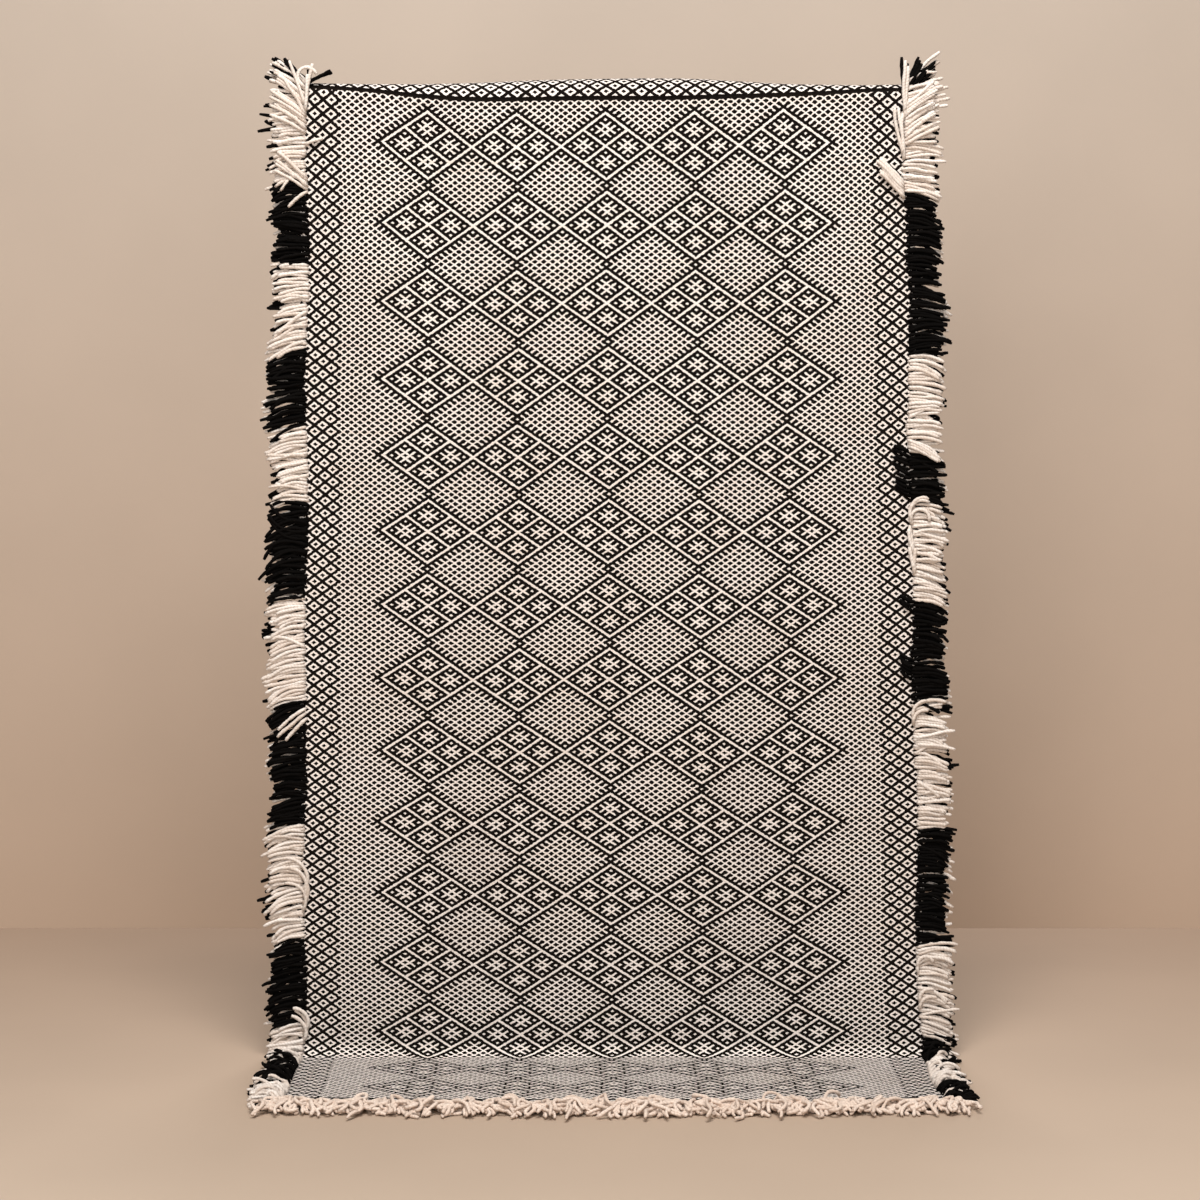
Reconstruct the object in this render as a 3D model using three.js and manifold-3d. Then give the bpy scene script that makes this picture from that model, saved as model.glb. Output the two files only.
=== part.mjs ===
// A double-faced berber kilim as it hangs: its top end is turned back over a soft fold,
// the cloth falls straight to the floor, and its lower end lies forward on the floor.
// Wool fringe in alternate blocks of cream and black runs down both long edges, and a
// cream fringe finishes each end. Millimetres, +Z up, the woven face towards -Y, and the
// origin inside the top fold, in the middle of the line it hangs by.
import * as THREE from 'three';
import { mergeVertices } from 'three/addons/utils/BufferGeometryUtils.js';
import Module from 'manifold-3d';

const wasm = await Module();
wasm.setup();

// Cloth
const THICKNESS = 4;
const CELLS_TO_EDGE = 138;      // warp cells from the middle of the weave to either long edge
const CELL_AT_TOP = 4.215;      // width of one cell near the top
const CELL_SPREAD = 0.000147;   // how much wider a cell is for each millimetre further down
const TURNED_BACK = 112;        // cloth beyond the woven black line at the top end
const LINE_TO_FOOT = 2197;      // cloth from that line to the foot end

// How it hangs
const HANG_HEIGHT = 1890;       // from the hanging line to the floor
const PANEL_BACK = -42;         // the plane of the hanging cloth, in front of the hanging line
const FLAP_BACK = 16;           // the plane of the turned-back end, behind the hanging line
const BEND_RADIUS = 28;         // the bend at the floor
const SLACK_LENGTH = 240;       // how fast the pulled-up corners ease into level rows
const DRIFT_TOP = -7;           // the middle of the cloth leans sideways on its way down
const DRIFT_FOOT = 8;
const WAVE_DEPTH = 5;           // slow ripples across the hanging cloth
const WAVE_LENGTH = 760;
const EDGE_SWAY = 4;            // how far the long edges wander in and out
const SWAY_LENGTH = 470;
const CURVE_AT_FOOT = 16;       // the foot end is this much further out in its middle

// The top fold from left to right: where its crest stands and how far below the crest
// the woven black line is
const FOLD = [
  { x: -620, crest: -11, drop: 7 },
  { x: -560, crest: -11, drop: 8 },
  { x: -454, crest: -12, drop: 14 },
  { x: -348, crest: -11, drop: 25 },
  { x: -245, crest: -8, drop: 32 },
  { x: -132, crest: -3, drop: 37 },
  { x: 0, crest: 0, drop: 40 },
  { x: 80, crest: 1, drop: 41 },
  { x: 172, crest: -1, drop: 36 },
  { x: 251, crest: -6, drop: 28 },
  { x: 331, crest: -11, drop: 21 },
  { x: 410, crest: -13, drop: 17 },
  { x: 490, crest: -14, drop: 12 },
  { x: 620, crest: -12, drop: 11 },
];

// How many rows of facets each stretch of the cloth takes, and how many columns they have
const COLUMNS = 20;
const FLAP_ROWS = 2;
const BACK_ROWS = 3;
const FRONT_ROWS = 5;
const PANEL_ROWS = 12;
const BEND_ROWS = 4;
const FLOOR_ROWS = 3;

// Fringe
const GAP = 0.3;
const STRIP_WIDTH = 6;
const LOCK_WIDTH = 15;          // across a lock's flat side at its root
const LOCK_HEIGHT = 3.8;
const LOCK_TAPER = 0.62;
const ROOT_AT = 4.3;            // how far from the cloth a lock starts, inside its strip
const LOCK_STEPS = 2;
const SIDE_PITCH = 24;
const SIDE_LENGTH = 62;
const END_PITCH = 23;
const FOOT_LENGTH = 66;
const BACK_LENGTH = 58;
const DROOP = 9;                // how far the tip of a side lock hangs below a straight line
const TOP_LIFT = 66;            // the angle at which the topmost side locks stand up

// The blocks of fringe down each long edge: where each ends, measured over the cloth from
// the crest of the fold, and the angle at which its last lock leaves the edge. The colour
// that passes the bend at the floor is in two blocks, which meet there.
const LEFT_BLOCKS = [
  { end: 0, wool: 'black', lift: 27 },
  { end: 180, wool: 'cream', lift: -4 },
  { end: 335, wool: 'black', lift: 3 },
  { end: 492, wool: 'cream', lift: -3 },
  { end: 639, wool: 'black', lift: -4 },
  { end: 787, wool: 'cream', lift: 2 },
  { end: 968, wool: 'black', lift: 5 },
  { end: 1166, wool: 'cream', lift: -5 },
  { end: 1407, wool: 'black', lift: -3 },
  { end: 1632, wool: 'cream', lift: -6 },
  { end: 1798, wool: 'black', lift: -4 },
  { end: 1859, wool: 'cream', lift: -2 },
  { end: 1926, wool: 'cream', lift: 0 },
  { end: 2076, wool: 'black', lift: 2 },
  { end: Infinity, wool: 'cream', lift: 6 },
];
const RIGHT_BLOCKS = [
  { end: 0, wool: 'black', lift: 27 },
  { end: 208, wool: 'cream', lift: -6 },
  { end: 511, wool: 'black', lift: 4 },
  { end: 692, wool: 'cream', lift: -3 },
  { end: 791, wool: 'black', lift: 2 },
  { end: 978, wool: 'cream', lift: -4 },
  { end: 1180, wool: 'black', lift: 4 },
  { end: 1423, wool: 'cream', lift: -3 },
  { end: 1657, wool: 'black', lift: 3 },
  { end: 1827, wool: 'cream', lift: -5 },
  { end: 1859, wool: 'black', lift: -2 },
  { end: 1926, wool: 'black', lift: 2 },
  { end: 2111, wool: 'cream', lift: 4 },
  { end: Infinity, wool: 'black', lift: 8 },
];

const WOOL = {
  cloth: new THREE.MeshStandardMaterial({ color: 0x8f8880, roughness: 0.92, metalness: 0 }),
  cream: new THREE.MeshStandardMaterial({ color: 0xece2d4, roughness: 0.9, metalness: 0 }),
  black: new THREE.MeshStandardMaterial({ color: 0x141110, roughness: 0.9, metalness: 0 }),
};

const group = new THREE.Group();

// A value read from a table by a smooth curve through its rows
function smooth(table, x, column) {
  const last = table.length - 2;
  let i = 0;
  while (i < last && x > table[i + 1].x) i += 1;
  const before = table[Math.max(i - 1, 0)];
  const from = table[i];
  const to = table[i + 1];
  const after = table[Math.min(i + 2, table.length - 1)];
  const span = to.x - from.x;
  const t = THREE.MathUtils.clamp((x - from.x) / span, 0, 1);
  const slopeFrom = (to[column] - before[column]) / (to.x - before.x) * span;
  const slopeTo = (after[column] - from[column]) / (after.x - from.x) * span;
  const rise = to[column] - from[column];
  return from[column] + t * (slopeFrom + t * (3 * rise - 2 * slopeFrom - slopeTo
    + t * (slopeFrom + slopeTo - 2 * rise)));
}

// An even, repeatable spread of numbers from -1 to 1
function uneven(index, salt) {
  const value = Math.sin(index * 12.9898 + salt * 78.233) * 43758.5453;
  return 2 * (value - Math.floor(value)) - 1;
}

// The size of the fold at x: the radii in front of the crest and behind it, the arc from
// the crest to the black line, and how high the rows below would hang if the fold alone
// carried them
function foldAt(x) {
  const crest = smooth(FOLD, x, 'crest');
  const drop = smooth(FOLD, x, 'drop');
  const radius = 14 + 0.7 * drop;
  const back = FLAP_BACK - PANEL_BACK - radius;
  const arc = radius * Math.acos(1 - drop / radius);
  const hang = crest - radius * (1 - Math.PI / 2) - arc;
  return { crest, radius, back, arc, hang };
}
const LEVEL = foldAt(0).hang;

// A point of the cloth's middle surface. across runs from -1 to 1 and along is measured
// over the cloth from the black line at the top: negative over the fold, then down the
// panel, round the bend and over the floor.
function clothPoint(across, along) {
  const down = Math.max(along, 0);
  const share = down / LINE_TO_FOOT;
  const half = CELLS_TO_EDGE * (CELL_AT_TOP + CELL_SPREAD * down);
  const sway = EDGE_SWAY * Math.sin(2 * Math.PI * down / SWAY_LENGTH + (across < 0 ? 0.6 : 2.4));
  const x = across * half + across ** 5 * sway + THREE.MathUtils.lerp(DRIFT_TOP, DRIFT_FOOT, share);
  const fold = foldAt(x);
  const fromCrest = along + fold.arc;
  let y = PANEL_BACK + fold.radius;
  let z = fold.crest;
  if (fromCrest < 0) {
    const turn = Math.min(-fromCrest / fold.back, Math.PI / 2);
    y += fold.back * Math.sin(turn);
    z -= fold.back * (1 - Math.cos(turn));
    z -= Math.max(-fromCrest - fold.back * Math.PI / 2, 0);
    return new THREE.Vector3(x, y, z);
  }
  const turn = Math.min(fromCrest / fold.radius, Math.PI / 2);
  y -= fold.radius * Math.sin(turn);
  z -= fold.radius * (1 - Math.cos(turn));
  z -= Math.max(fromCrest - fold.radius * Math.PI / 2, 0);
  z -= (fold.hang - LEVEL) * (1 - Math.exp(-down / SLACK_LENGTH));
  z -= CURVE_AT_FOOT * (1 - across * across) * share;
  const floor = THICKNESS / 2 - HANG_HEIGHT;
  const past = floor + BEND_RADIUS - z;
  const fade = THREE.MathUtils.smoothstep(down, 0, 300) * THREE.MathUtils.smoothstep(-past, 0, 350);
  y += fade * WAVE_DEPTH * Math.sin(2 * Math.PI * x / WAVE_LENGTH + down / 520);
  y += fade * 0.6 * WAVE_DEPTH * Math.sin(2 * Math.PI * x / 410 - down / 300);
  if (past > 0) {
    const bend = Math.min(past / BEND_RADIUS, Math.PI / 2);
    y -= BEND_RADIUS * (1 - Math.cos(bend)) + Math.max(past - BEND_RADIUS * Math.PI / 2, 0);
    z = floor + BEND_RADIUS * (1 - Math.sin(bend));
  }
  return new THREE.Vector3(x, y, z);
}

// The direction square to the cloth, towards its woven front
function clothNormal(across, along) {
  const step = 0.5;
  const sideways = clothPoint(across + 0.001, along).sub(clothPoint(across - 0.001, along));
  const lengthways = clothPoint(across, along + step).sub(clothPoint(across, along - step));
  return sideways.cross(lengthways).normalize().negate();
}

// Where the rows of facets meet along one column of the cloth: close together round the
// fold and the bend, whose places differ a little from column to column
function stations(across) {
  const fold = foldAt(clothPoint(across, 0).x);
  const stretch = 1 + CURVE_AT_FOOT * (1 - across * across) / LINE_TO_FOOT;
  const bend = (LEVEL + HANG_HEIGHT - THICKNESS / 2 - BEND_RADIUS) / stretch;
  const rows = [-TURNED_BACK];
  const add = (to, count) => {
    const from = rows[rows.length - 1];
    for (let i = 1; i <= count; i += 1) rows.push(THREE.MathUtils.lerp(from, to, i / count));
  };
  add(-fold.arc - fold.back * Math.PI / 2, FLAP_ROWS);
  add(-fold.arc, BACK_ROWS);
  add(fold.radius * Math.PI / 2 - fold.arc, FRONT_ROWS);
  add(bend, PANEL_ROWS);
  add(bend + BEND_RADIUS * Math.PI / 2, BEND_ROWS);
  add(LINE_TO_FOOT, FLOOR_ROWS);
  return rows;
}

// The flat cloth is a thin box with one row of facets at each station, bent to its shape
function cloth() {
  const rows = stations(0).length - 1;
  const box = new THREE.BoxGeometry(2, rows, 1, COLUMNS, rows, 1);
  box.deleteAttribute('normal');
  box.deleteAttribute('uv');
  box.translate(0, rows / 2, 0);
  const sheet = mergeVertices(box, 0.001);
  const spot = sheet.attributes.position;
  for (let i = 0; i < spot.count; i += 1) {
    const across = spot.getX(i);
    const along = stations(across)[Math.round(spot.getY(i))];
    const lift = clothNormal(across, along).multiplyScalar(spot.getZ(i) * THICKNESS);
    const point = clothPoint(across, along).add(lift);
    spot.setXYZ(i, point.x, point.y, point.z);
  }
  return faceOutward(sheet);
}

// A closed solid's volume, negative where its faces point inwards
function signedVolume(geometry) {
  const spot = geometry.attributes.position;
  const corner = [new THREE.Vector3(), new THREE.Vector3(), new THREE.Vector3()];
  let volume = 0;
  for (let i = 0; i < geometry.index.count; i += 3) {
    corner.forEach((c, k) => c.fromBufferAttribute(spot, geometry.index.getX(i + k)));
    volume += corner[0].dot(corner[1].cross(corner[2])) / 6;
  }
  return volume;
}

// The same solid with its faces pointing outwards
function faceOutward(geometry) {
  if (signedVolume(geometry) > 0) return geometry;
  const order = geometry.index.array;
  for (let i = 0; i < order.length; i += 3) [order[i + 1], order[i + 2]] = [order[i + 2], order[i + 1]];
  return geometry;
}

// A closed prism: a section of convex outline carried along a path, whose stations each
// give the place of the section's middle, its two axes and its scale
function sweep(path, section) {
  const points = [];
  const faces = [];
  const corners = section.length;
  for (const { at, across, up, scale } of path) {
    for (const [a, b] of section) {
      const point = at.clone().addScaledVector(across, a * scale).addScaledVector(up, b * scale);
      points.push(point.x, point.y, point.z);
    }
  }
  for (let ring = 0; ring < path.length - 1; ring += 1) {
    for (let k = 0; k < corners; k += 1) {
      const here = ring * corners + k;
      const next = ring * corners + (k + 1) % corners;
      faces.push(here, next, next + corners, here, next + corners, here + corners);
    }
  }
  const end = (path.length - 1) * corners;
  for (let k = 1; k < corners - 1; k += 1) {
    faces.push(0, k + 1, k, end, end + k, end + k + 1);
  }
  const geometry = new THREE.BufferGeometry();
  geometry.setAttribute('position', new THREE.Float32BufferAttribute(points, 3));
  geometry.setIndex(faces);
  return faceOutward(geometry);
}

// One solid out of several that overlap
function fuse(solids) {
  const parts = solids.map((solid) => new wasm.Manifold(new wasm.Mesh({
    numProp: 3,
    vertProperties: solid.attributes.position.array,
    triVerts: new Uint32Array(solid.index.array),
  })));
  const mesh = parts.reduce((whole, part) => whole.add(part)).getMesh();
  const geometry = new THREE.BufferGeometry();
  geometry.setAttribute('position', new THREE.BufferAttribute(mesh.vertProperties, 3));
  geometry.setIndex(new THREE.BufferAttribute(mesh.triVerts, 1));
  return geometry;
}

function addNode(name, geometry, wool) {
  const mesh = new THREE.Mesh(geometry, WOOL[wool]);
  mesh.name = name;
  group.add(mesh);
}

// A lock's section, with its flat side below
const SECTION = [[-LOCK_WIDTH / 2, 0], [LOCK_WIDTH / 2, 0], [0, LOCK_HEIGHT]];

// A lock of fringe: a three-sided rod from a root inside its strip. It leaves along
// heading, sinks by droop towards its tip and thins towards it. A lock on the floor lies
// level, with its flat side on the floor; one that starts in the bend first comes down.
function lock({ root, heading, face, length, droop, onFloor }) {
  const up = onFloor ? new THREE.Vector3(0, 0, 1) : face;
  const across = heading.clone().cross(up).normalize();
  const start = Math.max(root.z + HANG_HEIGHT - THICKNESS / 2, 0);
  const path = [];
  for (let i = 0; i <= LOCK_STEPS; i += 1) {
    const t = i / LOCK_STEPS;
    const at = root.clone().addScaledVector(heading, length * t);
    if (onFloor) at.z = start * Math.max(1 - 2 * t, 0) - HANG_HEIGHT;
    else at.addScaledVector(up, -LOCK_HEIGHT / 2).z -= droop * t * t;
    path.push({ at, across, up, scale: THREE.MathUtils.lerp(1, LOCK_TAPER, t) });
  }
  return sweep(path, SECTION);
}

// A strip of backing beside an edge of the cloth, along the places given
function strip(places, outward) {
  const half = THICKNESS / 2;
  const outer = GAP + STRIP_WIDTH;
  const path = places.map(({ at, up }) => ({ at, up, across: outward, scale: 1 }));
  return sweep(path, [[GAP, -half], [outer, -half], [outer, half], [GAP, half]]);
}

// The place and normal of the cloth's long edge, on the straight facets between stations
const EDGE_ROWS = { '-1': stations(-1), '1': stations(1) };
function edgeAt(side, along) {
  const rows = EDGE_ROWS[side];
  let i = 0;
  while (i < rows.length - 2 && along > rows[i + 1]) i += 1;
  const t = THREE.MathUtils.clamp((along - rows[i]) / (rows[i + 1] - rows[i]), 0, 1);
  const at = clothPoint(side, rows[i]).lerp(clothPoint(side, rows[i + 1]), t);
  const up = clothNormal(side, rows[i]).lerp(clothNormal(side, rows[i + 1]), t).normalize();
  return { at, up };
}

// The block of fringe from one place along a long edge to another: a narrow strip beside
// the cloth's edge, with its locks fused into it. The locks' angle turns from the one at
// which the block above ends to its own.
function sideBlock(side, from, to, liftFrom, liftTo, salt) {
  const outward = new THREE.Vector3(side, 0, 0);
  const stops = [from, ...EDGE_ROWS[side].filter((row) => row > from && row < to), to];
  const solids = [strip(stops.map((along) => edgeAt(side, along)), outward)];
  const count = Math.max(Math.round((to - from) / SIDE_PITCH), 2);
  for (let i = 0; i < count; i += 1) {
    const share = (i + 0.5) / count;
    const { at } = edgeAt(side, THREE.MathUtils.lerp(from, to, share));
    const lift = THREE.MathUtils.degToRad(THREE.MathUtils.lerp(liftFrom, liftTo, share ** 0.6)
      + 2 * uneven(i, salt));
    const clear = GAP + 1 + LOCK_WIDTH / 2 * Math.abs(Math.sin(lift));
    const height = at.z + HANG_HEIGHT;
    const onFloor = height < 2 * THICKNESS;
    const heading = onFloor
      ? new THREE.Vector3(side * Math.cos(lift), -Math.sin(lift), 0)
      : new THREE.Vector3(side * Math.cos(lift), 0.04 * uneven(i, salt + 5), Math.sin(lift));
    solids.push(lock({
      root: at.clone().addScaledVector(outward, Math.max(ROOT_AT, clear)),
      heading: heading.normalize(),
      face: new THREE.Vector3(0, -1, 0),
      length: SIDE_LENGTH * (1 + 0.1 * uneven(i, salt + 9)),
      droop: Math.min(DROOP * (1 + 0.4 * uneven(i, salt + 13)), height - LOCK_WIDTH / 2),
      onFloor,
    }));
  }
  return fuse(solids);
}

// The blocks down one long edge, from the turned-back end to the floor
function sideFringe(side, name, blocks) {
  const crest = -foldAt(clothPoint(side, 0).x).arc;
  let from = -TURNED_BACK;
  let lift = TOP_LIFT;
  blocks.forEach((block, index) => {
    const to = Math.min(crest + block.end, LINE_TO_FOOT);
    const label = `${name}_${String(index + 1).padStart(2, '0')}_${block.wool}`;
    addNode(label, sideBlock(side, from, to - GAP, lift, block.lift, index * 17 + side), block.wool);
    from = to;
    lift = block.lift;
  });
}

// The cream fringe beyond one end of the cloth, which lies flat on the floor at the foot
// and hangs straight down behind the top
function endFringe(name, along, heading, length, onFloor) {
  const up = onFloor ? new THREE.Vector3(0, 0, 1) : new THREE.Vector3(0, 1, 0);
  const places = [];
  for (let i = 0; i <= COLUMNS; i += 1) {
    places.push({ at: clothPoint(2 * i / COLUMNS - 1, along), up });
  }
  const solids = [strip(places, heading)];
  const width = places[COLUMNS].at.x - places[0].at.x;
  const count = Math.round(width / END_PITCH);
  for (let i = 0; i < count; i += 1) {
    const place = (i + 0.5) / count * COLUMNS;
    const column = Math.floor(place);
    const root = places[column].at.clone().lerp(places[column + 1].at, place - column);
    const lean = new THREE.Vector3(0.05 * uneven(i, length), 0, 0);
    solids.push(lock({
      root: root.addScaledVector(heading, ROOT_AT),
      heading: heading.clone().add(lean).normalize(),
      face: up,
      length: length * (1 + 0.1 * uneven(i, length + 3)),
      droop: 0,
      onFloor,
    }));
  }
  addNode(name, fuse(solids), 'cream');
}

addNode('kilim', cloth(), 'cloth');
sideFringe(-1, 'fringe_left', LEFT_BLOCKS);
sideFringe(1, 'fringe_right', RIGHT_BLOCKS);
endFringe('fringe_foot', LINE_TO_FOOT, new THREE.Vector3(0, -1, 0), FOOT_LENGTH, true);
endFringe('fringe_back', -TURNED_BACK, new THREE.Vector3(0, 0, -1), BACK_LENGTH, false);

export default group;
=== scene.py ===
"""A double-faced berber kilim in black and cream, as it hangs over a soft fold.

Metres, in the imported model's own frame: +Z up, the woven front towards -Y, and the origin
in the middle of the line that the rug hangs by. The cloth and every yarn of its fringe are
surfaces worked out with numpy. The weave is a chart in warp and weft cells, drawn by a
group of shader nodes that both faces of the cloth use.
"""
import math

import bpy
import numpy as np
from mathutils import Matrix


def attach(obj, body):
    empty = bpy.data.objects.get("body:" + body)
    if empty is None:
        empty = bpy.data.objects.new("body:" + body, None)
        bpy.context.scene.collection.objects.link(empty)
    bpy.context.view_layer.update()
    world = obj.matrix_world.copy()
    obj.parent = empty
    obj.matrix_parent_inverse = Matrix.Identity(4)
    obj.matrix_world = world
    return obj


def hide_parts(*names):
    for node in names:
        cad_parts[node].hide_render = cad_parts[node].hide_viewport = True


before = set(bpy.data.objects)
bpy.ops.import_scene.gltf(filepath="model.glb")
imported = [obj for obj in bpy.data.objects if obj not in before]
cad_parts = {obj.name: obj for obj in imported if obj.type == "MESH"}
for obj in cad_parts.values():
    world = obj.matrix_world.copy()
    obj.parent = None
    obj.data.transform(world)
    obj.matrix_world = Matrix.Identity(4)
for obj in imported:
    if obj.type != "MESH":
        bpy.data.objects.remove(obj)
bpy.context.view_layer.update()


def table(columns, rows):
    """Rows of figures as dictionaries, with the column's name for each figure."""
    return [dict(zip(columns, row)) for row in rows]


# The cloth, in the sizes of the part's source
THICKNESS = 0.004
CELLS_TO_EDGE = 138  # warp cells from the middle of the weave to a long edge
CELL_AT_TOP = 0.004215
CELL_SPREAD = 0.000147  # how much wider a cell gets with each metre of cloth
TURNED_BACK = 0.112  # cloth beyond the woven black line at the top end
LINE_TO_FOOT = 2.197  # cloth from that line to the foot end

# How it hangs
HANG_HEIGHT = 1.890
PANEL_BACK = -0.042  # the plane of the hanging cloth
FLAP_BACK = 0.016  # the plane of the turned-back end
BEND_RADIUS = 0.028  # the bend at the floor
SLACK_LENGTH = 0.240  # how fast the pulled-up corners ease into level rows
DRIFT_TOP = -0.007  # the cloth's middle leans sideways on its way down
DRIFT_FOOT = 0.008
WAVE_DEPTH = 0.005  # slow ripples across the hanging cloth
WAVE_LENGTH = 0.760
WAVE_SLANT = 0.520  # length of cloth in which a ripple moves one radian along
CROSS_SHARE = 0.6  # and the same for weaker ripples that slant the other way
CROSS_WAVE = 0.410
CROSS_SLANT = 0.300
WAVES_IN_BY = 0.300  # they are full from here down
WAVES_OUT_FROM = 0.350  # to this far above the bend
EDGE_SWAY = 0.004  # how far the long edges wander in and out
SWAY_LENGTH = 0.470
SWAY_STARTS = (0.6, 2.4)  # at the left and at the right edge, in radians
CURVE_AT_FOOT = 0.016  # the foot end is this much further out in its middle
FOLD_RADIUS = 0.014  # in front of the crest, where the black line is as high
FOLD_GROWTH = 0.7  # and how much larger for each metre that line lies lower

# The top fold from left to right: where its crest stands and how far below the crest the
# woven black line is
FOLD = table(("x", "crest", "drop"), [
    (-0.620, -0.011, 0.007),
    (-0.560, -0.011, 0.008),
    (-0.454, -0.012, 0.014),
    (-0.348, -0.011, 0.025),
    (-0.245, -0.008, 0.032),
    (-0.132, -0.003, 0.037),
    (0.000, 0.000, 0.040),
    (0.080, 0.001, 0.041),
    (0.172, -0.001, 0.036),
    (0.251, -0.006, 0.028),
    (0.331, -0.011, 0.021),
    (0.410, -0.013, 0.017),
    (0.490, -0.014, 0.012),
    (0.620, -0.012, 0.011),
])

# The rows of the cloth's mesh: how closely they follow each other along each stretch
COLUMN_COUNT = 139
STRETCHES = table(("start", "stop", "step"), [
    (-TURNED_BACK, 0.060, 0.004),
    (0.060, 1.780, 0.0085),
    (1.780, 1.904, 0.004),
    (1.904, LINE_TO_FOOT, 0.0085),
])

# The weave, in cells: u across from the middle, v along from the black line at the top
CELL_LONG = 0.00310  # length of a cell at the top
CELL_SHRINK = 0.000228  # and how much shorter the cells get towards the foot
SECOND_LINE = 730  # the black line at the foot
FIRST_ROW = 29  # the middle of the first row of diamonds
ROW_STEP = 48
LAST_ROW = 14
DIAMOND_STEP = 40
LAST_DIAMOND = 2  # diamonds on each side of the middle one
LINE_HALF = 1.35  # half the height of each black line
FRAME_AT = 10  # the cream line round a large diamond, on its diagonals
STITCHES_AT = 12  # and the row of short stitches round that
MOTIF_AT = 5  # the middle of each of the four motifs inside
MOTIF_HALF = 3
SMALL_LINE_FROM = 1.46  # a small diamond's black outline, on its diagonals
SMALL_MIDDLE_TO = 0.56  # and its black middle
BORDER_AT = 124  # a side border's column of small diamonds
BORDER_SHIFT = 2  # by which its rows are lower on the left, higher on the right
ZIGZAG_AT = 119  # the border's zigzag edge, where it is nearest the middle
DOT_RADIUS = 0.74  # of the ground's dots, counted along the diagonals
SPREAD = 0.07  # by how much the black swells over the cream beside it
SQUEEZE_FROM = 100  # the cells get narrower from here to the long edge
SQUEEZE = 0.0022
WANDER = 0.8  # scale of the noise that moves single floats

# Yarns of the fringe
YARN_RADIUS = 0.0034
SWELL = 0.12  # by how much its radius comes and goes along it
SWELL_RATE = 1.9  # in radians from one ring of points to the next
SWELL_START = 4.0e4  # times a yarn's own radius, for a start of its own
TIP = 0.72  # of the radius is left in the last ring
YARN_SIDES = 6
YARN_STEPS = 13
TWIST_PITCH = 0.012  # length of yarn in which its twist goes round once
RISE_AT_ROOT = 0.007  # length of yarn in which it comes up through the cloth
TOP_LIFT = 66  # degrees by which the topmost side yarns stand up
LIES_BELOW = 0.030  # edges lower than this above the floor begin to lie on it
LIES_WHOLLY = 0.003

# The blocks of fringe down each long edge: where each ends, measured over the cloth from
# the crest of the fold, and the angle at which its last yarns leave the edge
LEFT_BLOCKS = table(("end", "wool", "lift"), [
    (0.000, "black", 40),
    (0.180, "cream", -4),
    (0.335, "black", 3),
    (0.492, "cream", -3),
    (0.639, "black", -4),
    (0.787, "cream", 2),
    (0.968, "black", 5),
    (1.166, "cream", -5),
    (1.407, "black", -3),
    (1.632, "cream", -6),
    (1.798, "black", -4),
    (1.859, "cream", -2),
    (1.926, "cream", 0),
    (2.076, "black", 2),
    (9.000, "cream", 6),
])
RIGHT_BLOCKS = table(("end", "wool", "lift"), [
    (0.000, "black", 40),
    (0.208, "cream", -6),
    (0.511, "black", 4),
    (0.692, "cream", -3),
    (0.791, "black", 2),
    (0.978, "cream", -4),
    (1.180, "black", 4),
    (1.423, "cream", -3),
    (1.657, "black", 3),
    (1.827, "cream", -5),
    (1.859, "black", -2),
    (1.926, "black", 2),
    (2.111, "cream", 4),
    (9.000, "black", 8),
])

# The layers of yarn in every block of side fringe, from the front: how far inside the edge
# the yarns leave the cloth, how far in front of its middle they lie, how closely they
# follow each other, their length beyond the edge, and whether they have the block's colour
SIDE_LAYERS = table(("sewn", "lies", "pitch", "length", "own"), [
    (0.016, 0.0056, 0.0060, 0.058, True),
    (0.004, 0.0002, 0.0064, 0.056, True),
    (0.013, -0.0050, 0.0068, 0.063, False),
])
SIDE_REACH = {-1: 0.90, 1: 0.80}  # of that length, down the left edge and the right

# How unlike each other side yarns are. Turns are in degrees, from their block's angle, and
# lengths are shares of the layer's
LOCK_YARNS = 6
LOCK_TURN = 5.5
YARN_TURN = 4.2
STRAY_SHARE = 0.07  # of all yarns, which turn and reach further
STRAY_TURN = 19.0
STRAY_REACH = 0.15
SINK = (12, 46)  # how far a lock's tips sink
YARN_SINK = 7
GATHER = (-4, 18)  # how far the outer yarns of a lock draw together
LOCK_REACH = (-0.02, 0.12)  # mean and spread
YARN_REACH = 0.08
HIGH_YARNS = (-0.22, -0.02)  # between these heights they get freer and longer

# Locks that don't lie with the rest, down each side: where they start over the cloth from
# the crest and along how much of the edge, how many yarns they have, the angle at which
# they leave (0 straight out, 90 up, 180 in over the cloth), by how much it turns, their
# length, and how far in front of the cloth's middle they lie
LEFT_LOOSE = table(("at", "span", "yarns", "wool", "turn", "curl", "length", "lies"), [
    (0.018, 0.034, 7, "black", 47, 6, 0.066, -0.002),
    (0.014, 0.007, 2, "black", 152, 8, 0.058, 0.007),
    (0.058, 0.016, 2, "cream", 72, -6, 0.084, 0.009),
    (0.022, 0.006, 1, "cream", 8, 220, 0.074, 0.010),
    (0.052, 0.012, 2, "cream", 96, 6, 0.074, 0.010),
    (0.080, 0.034, 7, "cream", 40, -14, 0.074, 0.009),
    (0.118, 0.006, 1, "cream", 160, 10, 0.040, 0.008),
    (0.188, 0.020, 5, "cream", 42, -12, 0.070, 0.010),
    (0.202, 0.004, 1, "cream", -38, -6, 0.044, 0.012),
    (0.860, 0.070, 6, "black", 24, -84, 0.098, 0.009),
    (0.838, 0.030, 3, "black", -12, 70, 0.090, 0.008),
    (1.190, 0.020, 3, "cream", -34, -10, 0.066, 0.009),
    (1.555, 0.040, 4, "cream", 132, -130, 0.088, 0.009),
    (1.822, 0.020, 3, "cream", 128, -140, 0.070, 0.009),
])
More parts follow.
